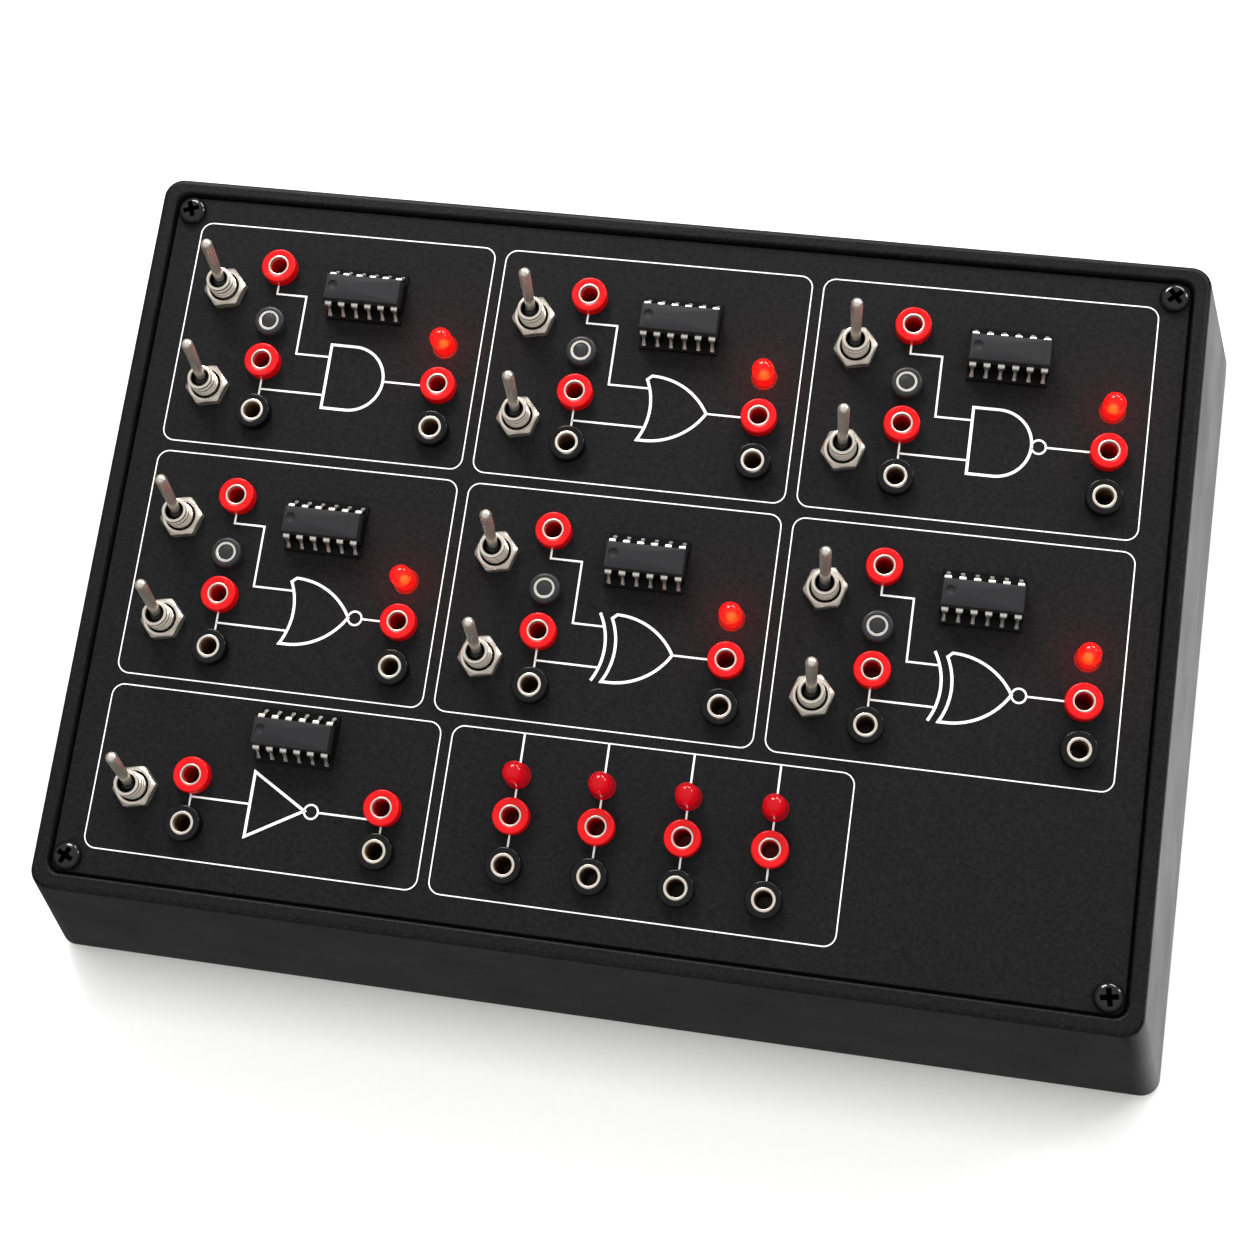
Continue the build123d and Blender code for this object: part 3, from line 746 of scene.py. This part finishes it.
class TRAINER_OT_switches(bpy.types.Operator):
    """Builds the toggles' bushings and nuts, and dresses the cases behind the panel"""
    bl_idname = "trainer.switches"
    bl_label = "Toggle switches"

    def execute(self, context):
        sizes, colours = settings(context)
        metal = plated_metal("toggle_nickel", colours.nickel, 0.28)
        radius, top, bottom = measure("switch_bushings")
        nut_top = measure("switch_nuts")[1]
        root, crest = radius - sizes.thread_depth, radius - 0.15 * MM
        bore, lip, groove = 2.1 * MM, 0.15 * MM, 0.7 * MM
        rings, plain = 3, 0.7
        start = nut_top - groove
        pitch = (top - start) / (rings + plain)
        profile = [(0, bottom), (radius, bottom), (root, start)]
        # Each ring's flanks, as shares of the pitch: root, crest, crest, root.
        for i in range(rings):
            profile += [(reach, start + (i + share) * pitch)
                        for share, reach in ((0.1, root), (0.25, radius), (0.85, radius), (1, root))]
        profile += [(crest, top - 2 * lip), (crest - lip / 2, top - lip / 2), (crest - 2 * lip, top),
                    (bore + lip, top), (bore, top - lip), (bore, bottom + 2 * bore),
                    (0, bottom + 2 * bore)]
        stands = on_panel("switch_bushings")
        piece("toggle_bushings", placed(turned(profile, sizes.segments), stands), metal,
              replaces=["switch_bushings"], smooth=32)
        # Painted shade: a dark cone just inside each bushing's bore stands in for the shade down the bore.
        well = turned([(bore - lip / 8, top - 4 * lip), (bore - lip / 4, bottom + 3 * bore),
                       (0, bottom + 2.5 * bore)], sizes.segments)
        piece("toggle_wells", placed(well, stands), glossy_plastic("bore_painted_shade", colours.carrier, 0.5))
        self.nuts(sizes, metal, painted_shade_black("groove_painted_shade", colours.carrier), radius, groove)
        dress("switch_cases", glossy_plastic("switch_housing", colours.carrier, 0.45))
        return {"FINISHED"}

    def nuts(self, sizes, metal, dark, bore, groove):
        """Hexagonal nuts whose tops slope off at the corners: z = h - (R(a) - c) tan 30.

        Profile radii of side and rim are marks: the hexagon's own reach R(a) takes their place."""
        turn, slope = math.radians(12), math.tan(math.radians(30))
        corner, top = measure("switch_nuts")[:2]
        flat = corner * math.cos(math.pi / 6) / math.cos(turn)
        lip, chamfer = 0.12 * MM, sizes.nut_chamfer
        wall = bore + 0.45 * MM
        side, rim, sides = 2 * flat, 1.4 * flat, 72

        def hexagon(angles, r, z):
            reach = flat / np.cos((angles - turn) % (math.pi / 3) - math.pi / 6)
            outside = r > flat
            drop = np.maximum(reach - chamfer, 0) * slope
            return (np.where(outside, reach - (r < side) * lip, r),
                    np.where(outside & (z > top / 2), z - drop, z))

        nut = turned([(bore, 0), (side, 0), (side, top - lip), (rim, top), (chamfer, top),
                      (wall + lip, top), (wall, top - lip), (wall, top - groove), (bore, top - groove),
                      (bore, 0)], sides, hexagon)
        # Painted shade: the faces in the groove between nut and bushing get the near-black material.
        piece("toggle_nuts", placed(nut, on_panel("switch_nuts")), metal,
              replaces=["switch_nuts"], smooth=25, inner=dark,
              inside=lambda middle: within("switch_nuts", middle, lip, top - 1.5 * lip, wall + lip))


class TRAINER_OT_levers(bpy.types.Operator):
    """Builds the toggles' levers, each on its own body"""
    bl_idname = "trainer.levers"
    bl_label = "Toggle levers"

    def execute(self, context):
        sizes, colours = settings(context)
        metal = plated_metal("lever_nickel", colours.nickel, 0.3)
        ball_shade = glossy_plastic("ball_painted_shade", colours.carrier, 0.5)
        ball, reach, collar, lean = 2.0 * MM, 15.2 * MM, 0.3 * MM, math.radians(16)
        tip, root, shade_reach = sizes.lever_tip, sizes.lever_root, 1.1 * ball
        neck = math.sqrt(ball ** 2 - root ** 2)
        lever = turned([*arc((0, 0), ball, -90, math.degrees(math.asin(neck / ball)), 18),
                        (root, neck + collar), *arc((0, reach - tip), tip, 0, 90, 10)], 40)
        slope = PANEL.to_3x3().to_4x4() @ Matrix.Rotation(-lean, 4, "X")
        for joint in frame["joints"]:
            body, pivot = joint["child"], Vector(joint["pos_m"])
            # Painted shade: the ball's faces, down in the bushing's bore, get a dark material.
            piece(f"rod_{body}", placed(lever, [Matrix.Translation(pivot) @ slope]), metal,
                  body=body, replaces=[body], inner=ball_shade,
                  inside=lambda middle: (middle - pivot).length < shade_reach)
        return {"FINISHED"}


class TRAINER_OT_lights(bpy.types.Operator):
    """Builds the red lamps: lit ones for the outputs, and dark ones for the monitor whose glow is painted
    light
    """
    bl_idname = "trainer.lights"
    bl_label = "Red lamps"

    def execute(self, context):
        sizes, colours = settings(context)
        flange, top = measure("output_lights")[:2]
        radius, step, fillet, taper = sizes.lens_radius, sizes.lens_flange, 0.3 * MM, 0.985
        dome = [(taper * r, z) for r, z in arc((0, top - radius), radius, 0, 90, 14)]
        lens = turned([(0, 0), (flange - fillet, 0), (flange, fillet), (flange, step - fillet),
                       (flange - fillet, step), (radius + fillet, step), (radius, step + fillet), *dome],
                      sizes.segments)
        # Radii and heights of the glow inside, as shares of the lens's.
        heart_shares = ((0, 0.05), (0.7, 0.05), (0.66, 0.4), (0.4, 0.5), (0, 0.5))
        heart = turned([(r * radius, z * top) for r, z in heart_shares], sizes.segments // 2)
        die_radius, die_height = 0.18 * radius, 0.52 * top
        die = turned(arc((0, die_height), die_radius, -90, 90, 12), 24)
        for kind, slot, resin, tint, glow, clear in (
                ("output", "lit_red_lens", colours.lit_lens, colours.lit_body, 0.08, 0.92),
                # The monitor lamps are dark: the glow of their resin and hearts is painted light.
                ("monitor", "dark_red_lens", colours.dark_lens, colours.monitor_painted_glow, 0.17, 0.85)):
            node = f"{kind}_lights"
            parts = [("lenses", lens, lit_lens(f"{kind}_resin", resin, tint, glow, clear)),
                     ("hearts", heart, glowing_core(f"{kind}_heart", tint, 0.55))]
            if kind == "output":
                parts.append(("dies", die, glowing_core("output_die", colours.lit_core, 3.0)))
            for part, form, material in parts:
                thing = piece(f"{node}_{part}", placed(form, on_panel(node)), material,
                              replaces=[node] if part == "lenses" else [])
                thing.visible_shadow = kind == "monitor"
                thing.visible_glossy = False
        for x, y in spots("output_lights"):
            data = bpy.data.lights.new("lamp_glow", "POINT")
            data.energy = context.scene.trainer_studio.glow_power
            data.color = colours.lit_body
            data.shadow_soft_size = radius / 2
            glow = in_scene("lamp_glow", data)
            glow.visible_glossy = False
            glow.location = PANEL @ Vector((x, y, top / 2))
            lights_only(glow, frame["nodes"]["front_panel"])
        return {"FINISHED"}


class TRAINER_OT_lamps(bpy.types.Operator):
    """Builds the unlit input lamps: body, bright ring and smoked lens"""
    bl_idname = "trainer.lamps"
    bl_label = "Input lamps"

    def execute(self, context):
        sizes, colours = settings(context)
        radius, height = measure("lamp_bodies")[:2]
        outer, inner, edge, lip = 2.4 * MM, 1.75 * MM, 0.7 * MM, 0.1 * MM
        ring_top, lens_top = height - 2 * lip, height - 4 * lip
        body = [(outer, 0), (radius, 0), *rounded(radius, edge, height), (outer + lip, height),
                (outer, height - lip), (outer, 0)]
        ring = [(inner, 0), (outer, 0), (outer, ring_top), (outer - lip, ring_top + lip),
                (inner + lip, ring_top + lip), (inner, ring_top), (inner, 0)]
        lens = [(0, 0), (inner, 0), (inner, lens_top), (0.6 * inner, lens_top + 1.4 * lip),
                (0, lens_top + 1.8 * lip)]
        grey = glossy_plastic("lamp_grey", colours.lamp_body, 0.34, mirror=0.35)
        bright = plated_metal("lamp_ring", colours.lamp_ring, 0.3)
        smoked = glossy_plastic("lamp_smoked", colours.smoked, 0.28)
        for part, profile, material, slot in (("bodies", body, grey, "lamp_grey"),
                                              ("rings", ring, bright, "nickel"),
                                              ("lenses", lens, smoked, "smoked_lens")):
            form = placed(turned(profile, sizes.segments), on_panel("lamp_bodies"))
            piece(f"input_lamp_{part}", form, material, replaces=[f"lamp_{part}"])
        return {"FINISHED"}


class TRAINER_OT_chips(bpy.types.Operator):
    """Builds the chips' bodies and bent pins, and dresses their carriers"""
    bl_idname = "trainer.chips"
    bl_label = "Chips"

    def execute(self, context):
        sizes, colours = settings(context)
        resin = chip_resin(colours)
        for node in CHIPS:
            middle, low, high = islands(node)[0]
            form = placed(self.body(high - low, sizes.dimple), [PANEL @ Matrix.Translation(middle)])
            piece(f"body_{node}", form, resin, replaces=[node], smooth=30)
        # Partly painted shade: besides being black plastic, the near-black, low-gloss carrier fills the dark
        # between the pins.
        dress("chip_carriers", glossy_plastic("carrier_pbt", colours.carrier, 0.4, mirror=0.1), 0.15 * MM)
        piece("pins", self.pins(sizes), plated_metal("pin_tin", colours.tin, 0.32, metallic=0.95),
              replaces=["chip_pins"], smooth=50)
        return {"FINISHED"}

    def body(self, size, dimple):
        """A moulded body: loops round a rectangle that draws in above and below the parting line.

        Each point p of the top loop is led to the dimple's rim at c + r (p - c) / |p - c|."""
        half_x, half_y, half_z = size / 2
        draft = math.tan(math.radians(8)) * half_z
        soft, seam, depth = 0.16 * MM, 0.05 * MM, 0.45 * MM
        centre = np.array((1.9 * MM - half_x, 0.35 * MM))  # the dimple's, from the body's left end
        steps = np.linspace(-1, 1, 16, endpoint=False)
        ones = np.ones(len(steps))
        unit = np.vstack((np.column_stack((steps, -ones)), np.column_stack((ones, steps)),
                          np.column_stack((-steps, ones)), np.column_stack((-ones, -steps))))
        rays = unit * (half_x - draft, half_y - draft) - centre
        rays /= np.linalg.norm(rays, axis=1)[:, None]

        def loop(inset, z):
            return np.column_stack((unit * (half_x - inset, half_y - inset), np.full(len(unit), z)))

        def circle(radius, z):
            return np.column_stack((centre + rays * radius, np.full(len(unit), z)))

        loops = [circle(0, -half_z), loop(draft + soft, -half_z), loop(draft, soft - half_z),
                 loop(0, -seam), loop(0, seam), loop(draft, half_z - soft),
                 loop(draft + 0.3 * soft, half_z - 0.3 * soft), loop(draft + soft, half_z)]
        loops += [circle(share * dimple, half_z - drop * depth)
                  for share, drop in ((1, 0), (0.9, 5 / 9), (0.5, 8 / 9), (0, 1))]
        return np.vstack(loops), grid_faces(len(loops), len(unit))

    def pins(self, sizes):
        """Bent strips: a path from the body over a shoulder and down to a splayed foot, swept by a width."""
        thick = 0.35 * MM
        chips = [spots(node)[0] for node in CHIPS]
        matrices = []
        for middle, low, high in islands("chip_pins"):
            chip = min(chips, key=lambda c: math.hypot(c[0] - middle[0], c[1] - middle[1]))
            rear = middle[1] > chip[1]
            turn = Matrix.Rotation(0 if rear else math.pi, 4, "Z")
            matrices.append(PANEL @ Matrix.Translation((middle[0], (low if rear else high)[1], 0)) @ turn)
        top, bottom = high[2], low[2]
        bend, foot = sizes.pin_shoulder - thick / 2, high[1] - low[1] - thick / 2
        # Outward and up: a flat shoulder, a tight bend, then a leg that curves out to its foot.
        path = [(0, top - thick / 2), (bend - 0.3 * MM, top - thick / 2),
                (bend - 0.08 * MM, top - 0.7 * thick), (bend + 0.06 * MM, top - 1.3 * thick)]
        path += [(bend + (foot - bend) * share ** 2, top - thick - (top - bottom - thick) * share)
                 for share in (0.2, 0.35, 0.55, 0.75, 0.9, 1)]
        leg = 0.5 * sizes.pin_width
        widths = [sizes.pin_width] * 4 + [0.9 * sizes.pin_width] + [leg] * 3 + [sizes.foot_width] * 2
        bow = 0.25 * thick
        loops = []
        for i, ((y, z), width) in enumerate(zip(path, widths)):
            y0, z0 = path[max(i - 1, 0)]
            y1, z1 = path[min(i + 1, len(path) - 1)]
            run = math.hypot(y1 - y0, z1 - z0)
            ny, nz = (z0 - z1) / run * thick / 2, (y1 - y0) / run * thick / 2
            half = width / 2
            loops += [(-half, y + ny - bow, z + nz - bow / 2), (-0.7 * half, y + ny, z + nz),
                      (0.7 * half, y + ny, z + nz), (half, y + ny - bow, z + nz - bow / 2),
                      (half, y - ny, z - nz), (-half, y - ny, z - nz)]
        ends = [tuple(range(6)), tuple(range(len(loops) - 6, len(loops)))]
        return placed((np.array(loops), grid_faces(len(path), 6) + ends), matrices)


class TRAINER_OT_screws(bpy.types.Operator):
    """Builds the panel's cross-recessed screws and dresses the base's"""
    bl_idname = "trainer.screws"
    bl_label = "Screws"

    def execute(self, context):
        colours = context.scene.trainer_colours
        oxide = glossy_plastic("screw_oxide", colours.oxide, 0.14)
        radius, top, bottom = measure("panel_screws")
        shank, under, side = 1.4 * MM, 0.8 * MM, 0.25 * MM
        reach, half, depth = 2.05 * MM, 0.58 * MM, 1.3 * MM
        mark = half / 8

        def cross(angles, r, z):
            """The recess: radii up to the mark are shares of a cross with arms of width 2 half."""
            across = np.abs(np.cos(angles)), np.abs(np.sin(angles))
            arm = np.minimum(half / np.maximum(np.minimum(*across), 1e-6), reach / np.maximum(*across))
            return np.where(r <= mark, arm * r / mark, r), z

        # The crown is a flattened dome, cut off level at 62 degrees.
        crown = [(radius * math.cos(a) ** 0.7, side + (top - side) * math.sin(a))
                 for a in np.linspace(0, math.radians(62), 10)]
        flat = crown[-1][1]
        profile = [(0, bottom), (shank, bottom + under), (shank, 0), (radius, 0), *crown, (mark, flat),
                   (0.8 * mark, flat - 0.6 * depth), (0.35 * mark, flat - depth), (0, flat - depth)]
        matrices = [stand @ Matrix.Rotation(math.radians(turn), 4, "Z")
                    for stand, turn in zip(on_panel("panel_screws"), (20, 65, 40, 10))]
        # Painted shade: the faces of the cross recess below its rim get the near-black material.
        dark_below = flat - 0.05 * MM
        piece("corner_screws", placed(turned(profile, 96, cross), matrices), oxide,
              replaces=["panel_screws"], smooth=35, inner=painted_shade_black("recess_painted_shade", colours.oxide),
              inside=lambda middle: within("panel_screws", middle, 0, dark_below, reach))
        dress("base_screws", oxide, 0.2 * MM)
        return {"FINISHED"}


class TRAINER_OT_supply(bpy.types.Operator):
    """Dresses the supply board, its screws and its lead, and the power inlet"""
    bl_idname = "trainer.supply"
    bl_label = "Supply"

    def execute(self, context):
        colours, edge = context.scene.trainer_colours, 0.2 * MM
        dress("supply_board", glossy_plastic("board_laminate", colours.laminate, 0.4))
        dress("board_screws", plated_metal("screw_zinc", colours.tin, 0.3), edge)
        dress("supply_lead", glossy_plastic("lead_pvc", colours.lead, 0.45), edge)
        dress("power_inlet", glossy_plastic("inlet_nylon", colours.black, 0.38), edge)
        dress("inlet_nut", plated_metal("inlet_nickel", colours.nickel, 0.24), 0.75 * edge)
        return {"FINISHED"}


class TRAINER_OT_stage(bpy.types.Operator):
    """Sets the floor, the soft lights, the white room and the camera"""
    bl_idname = "trainer.stage"
    bl_label = "Stage"

    def execute(self, context):
        scene, studio = context.scene, context.scene.trainer_studio
        ground = self.floor(scene.trainer_colours.floor)
        self.soft_light("key_light", (-0.35, 1.0, 0.8), (0.5, 0.4), studio.key_power)
        self.soft_light("rear_light", (0.4, 0.95, 0.5), (0.5, 0.2), studio.rim_power)
        self.soft_light("right_light", (0.95, 0.6, 0.55), (0.22, 0.25), studio.fill_power)
        lights_only(self.soft_light("floor_light", (0, 0.35, 1.5), (0.4, 0.4), studio.floor_power), ground)
        self.room(studio)
        data = bpy.data.cameras.new("camera")
        data.sensor_width = 36
        data.lens = studio.lens
        camera = in_scene("camera", data)
        camera.location = studio.place
        camera.rotation_euler = studio.turn
        scene.camera = camera
        scene.view_settings.view_transform = "Standard"
        return {"FINISHED"}

    def floor(self, base):
        """A pale floor, far wider than the object, of faintly mottled paper."""
        material, shader = surface("floor_paper", base, 0.9, Specular_IOR_Level=0.1)
        tinted(shader, noise(shader, scale=400), base, 0.985, 1)
        half = 6.0
        mesh = bpy.data.meshes.new("floor")
        mesh.from_pydata([(-half, -half, 0), (half, -half, 0), (half, half, 0), (-half, half, 0)], [],
                         [(0, 1, 2, 3)])
        mesh.materials.append(material)
        thing = in_scene("floor", mesh)
        thing.visible_glossy = False
        return thing

    def soft_light(self, name, place, size, power):
        """A rectangular light that faces the object."""
        data = bpy.data.lights.new(name, "AREA")
        data.shape = "RECTANGLE"
        data.size, data.size_y = size
        data.energy = power
        light = in_scene(name, data)
        light.location = place
        target = Vector((0, 0, 0.05))
        light.rotation_euler = (target - Vector(place)).to_track_quat("-Z", "Y").to_euler()
        return light

    def room(self, studio):
        """White where the camera looks; gloss sees a room that is bright above and low on the right."""
        world = bpy.data.worlds.new("room")
        world.use_nodes = True
        bpy.context.scene.world = world
        tree = world.node_tree
        path = add(tree, "ShaderNodeLightPath").outputs
        place = add(tree, "ShaderNodeTexCoord")
        axes = add(tree, "ShaderNodeSeparateXYZ", {"Vector": place.outputs["Generated"]}).outputs
        # Z is 0 at the horizon and 1 overhead. X + Y grows towards the right-hand rear.
        upward = ramp(tree, axes["Z"], 0.15, 0.7, studio.around, studio.above)
        down = ramp(tree, axes["Z"], -0.25, -0.65)
        aside = add(tree, "ShaderNodeMath", {0: axes["X"], 1: axes["Y"]}, operation="ADD")
        right = ramp(tree, aside.outputs[0], -0.1, 0.4, 0, studio.beside)
        low = add(tree, "ShaderNodeMath", {0: down, 1: right, 2: upward}, operation="MULTIPLY_ADD")
        gloss = add(tree, "ShaderNodeMath", {0: path["Is Glossy Ray"], 1: path["Is Transmission Ray"]},
                    operation="MAXIMUM")
        lit = add(tree, "ShaderNodeMix", {"Factor": gloss.outputs[0], "A": studio.sky,
                                          "B": low.outputs[0]}, data_type="FLOAT")
        seen = add(tree, "ShaderNodeMix", {"Factor": path["Is Camera Ray"],
                                           "A": lit.outputs["Result"], "B": 1.0}, data_type="FLOAT")
        background = tree.nodes["Background"].inputs
        tree.links.new(seen.outputs["Result"], background["Strength"])
        background["Color"].default_value = (1, 1, 1, 1)


OPERATORS = (TRAINER_OT_casing, TRAINER_OT_panel, TRAINER_OT_sockets, TRAINER_OT_switches,
             TRAINER_OT_levers, TRAINER_OT_lights, TRAINER_OT_lamps, TRAINER_OT_chips,
             TRAINER_OT_screws, TRAINER_OT_supply, TRAINER_OT_stage)
GROUPS = {"trainer_sizes": TrainerSizes, "trainer_legend": TrainerLegend,
          "trainer_colours": TrainerColours, "trainer_studio": TrainerStudio}


class TRAINER_PT_sidebar(bpy.types.Panel):
    """Lists the operators and the settings"""
    bl_idname = "TRAINER_PT_sidebar"
    bl_label = "Logic Trainer"
    bl_space_type = "VIEW_3D"
    bl_region_type = "UI"
    bl_category = "Trainer"

    def draw(self, context):
        for operator in OPERATORS:
            self.layout.operator(operator.bl_idname)
        for name, group in GROUPS.items():
            box = self.layout.box()
            for key in group.__annotations__:
                box.prop(getattr(context.scene, name), key)


def register():
    """Registers the classes and hangs the settings on the scene."""
    for group in GROUPS.values():
        bpy.utils.register_class(group)
    for name, group in GROUPS.items():
        setattr(bpy.types.Scene, name, PointerProperty(type=group))
    for operator in OPERATORS:
        bpy.utils.register_class(operator)
    bpy.utils.register_class(TRAINER_PT_sidebar)


def unregister():
    """Takes the classes and the settings away again."""
    bpy.utils.unregister_class(TRAINER_PT_sidebar)
    for operator in reversed(OPERATORS):
        bpy.utils.unregister_class(operator)
    for name, group in GROUPS.items():
        delattr(bpy.types.Scene, name)
        bpy.utils.unregister_class(group)


def main():
    """Builds every piece and the stage."""
    register()
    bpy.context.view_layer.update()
    for operator in OPERATORS:
        group, name = operator.bl_idname.split(".")
        getattr(getattr(bpy.ops, group), name)()


if __name__ == "__main__":
    main()
